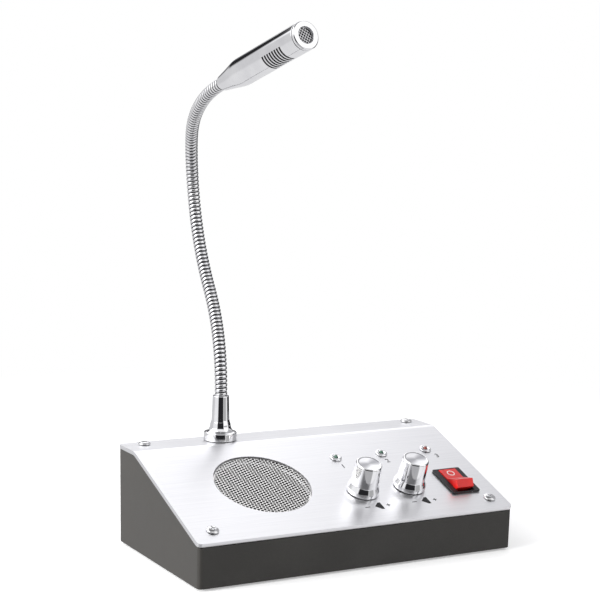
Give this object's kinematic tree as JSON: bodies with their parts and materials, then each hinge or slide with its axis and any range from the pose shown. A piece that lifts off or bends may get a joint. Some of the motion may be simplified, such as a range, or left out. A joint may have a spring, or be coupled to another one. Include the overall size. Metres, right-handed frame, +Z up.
{
  "type": "window intercom",
  "caption": "Counter talk-through unit: wedge housing with a sloped metal panel, loudspeaker, volume knobs, rocker switch, lamps and a gooseneck microphone.",
  "frame": {"origin": "on the desk under the middle of the housing's footprint, in the plane of the feet's soles", "axes": "+Z up, +X along the width to the user's right as they face the panel, -Y towards the user"},
  "size_m": [0.2188, 0.1736, 0.3217],
  "materials": {
    "housing_plastic": "fine moulded grain, dark warm grey",
    "brushed_panel": "brushed along the width, bright bevelled edge",
    "chrome": "polished",
    "steel": "plain sheet",
    "zinc": "bright zinc plate",
    "black_plastic": "moulded",
    "red_plastic": "gloss",
    "rubber": "matt",
    "green_lens": "clear lens, dark green tint",
    "red_lens": "clear lens, reddish brown tint",
    "cone_paper": "pressed paper",
    "ferrite": "ground ferrite",
    "board": "solder mask",
    "aluminium": "extruded",
    "cable": "cable sleeve"
  },
  "bodies": {
    "base": {"audio_nut_left": "zinc", "audio_nut_right": "zinc", "audio_socket_left": "black_plastic", "audio_socket_right": "black_plastic", "board_screw_1": "zinc", "board_screw_2": "zinc", "board_screw_3": "zinc", "board_screw_4": "zinc", "call_lamp_left": "green_lens", "call_lamp_left_bezel": "chrome", "call_lamp_right": "green_lens", "call_lamp_right_bezel": "chrome", "control_nut_left": "zinc", "control_nut_right": "zinc", "fitting_nut": "zinc", "fitting_washer": "zinc", "front_panel": "brushed_panel", "heat_sink": "aluminium", "housing": "housing_plastic", "main_board": "board", "neck_fitting": "chrome", "neck_lead_1": "cable", "neck_stretch_1": "chrome", "panel_screw_1": "zinc", "panel_screw_2": "zinc", "panel_screw_3": "zinc", "panel_screw_4": "zinc", "power_lamp": "red_lens", "power_lamp_bezel": "chrome", "power_socket": "black_plastic", "rubber_foot_1": "rubber", "rubber_foot_2": "rubber", "rubber_foot_3": "rubber", "rubber_foot_4": "rubber", "speaker_basket": "steel", "speaker_cone": "cone_paper", "speaker_grille": "steel", "speaker_magnet": "ferrite", "speaker_yoke": "steel", "switch_body": "black_plastic", "volume_control_left": "zinc", "volume_control_right": "zinc"},
    "neck_2": {"neck_stretch_2": "chrome", "neck_lead_2": "cable"},
    "neck_3": {"neck_stretch_3": "chrome", "neck_lead_3": "cable"},
    "neck_4": {"neck_stretch_4": "chrome", "neck_lead_4": "cable"},
    "head": {"neck_stretch_5": "chrome", "neck_lead_5": "cable", "mic_shell": "chrome", "mic_cap": "chrome", "mic_mesh": "steel", "mic_capsule": "aluminium", "capsule_holder": "rubber"},
    "knob_left": {"volume_knob_left": "chrome", "control_shaft_left": "zinc"},
    "knob_right": {"volume_knob_right": "chrome", "control_shaft_right": "zinc"},
    "rocker": {"switch_rocker": "red_plastic"}
  },
  "joints": [
    {"name": "neck_bend_1", "type": "hinge", "parent": "base", "child": "neck_2", "pos_m": [-0.04208, 0.05667, 0.12598], "axis": [-0.0476, 0.8265, -0.5609], "range_deg": [-30, 30]},
    {"name": "neck_bend_2", "type": "hinge", "parent": "neck_2", "child": "neck_3", "pos_m": [-0.0386, 0.07901, 0.15648], "axis": [0.9982, 0.0243, -0.0557], "range_deg": [-30, 30]},
    {"name": "neck_bend_3", "type": "hinge", "parent": "neck_3", "child": "neck_4", "pos_m": [-0.03689, 0.10483, 0.20252], "axis": [-0.0437, 0.9349, -0.3522], "range_deg": [-30, 30]},
    {"name": "neck_bend_4", "type": "hinge", "parent": "neck_4", "child": "head", "pos_m": [-0.04652, 0.09185, 0.25561], "axis": [0.9201, -0.077, 0.384], "range_deg": [-30, 30]},
    {"name": "volume_turn_left", "type": "hinge", "parent": "base", "child": "knob_left", "pos_m": [0.0169, -0.02765, 0.03972], "axis": [0, -0.3545, 0.9351], "range_deg": [-150, 150]},
    {"name": "volume_turn_right", "type": "hinge", "parent": "base", "child": "knob_right", "pos_m": [0.0509, -0.02765, 0.03972], "axis": [0, -0.3545, 0.9351], "range_deg": [-150, 150]},
    {"name": "switch_rock", "type": "hinge", "parent": "base", "child": "rocker", "pos_m": [0.0861, -0.02733, 0.03717], "axis": [1, 0, 0], "range_deg": [0, 30]}
  ]
}
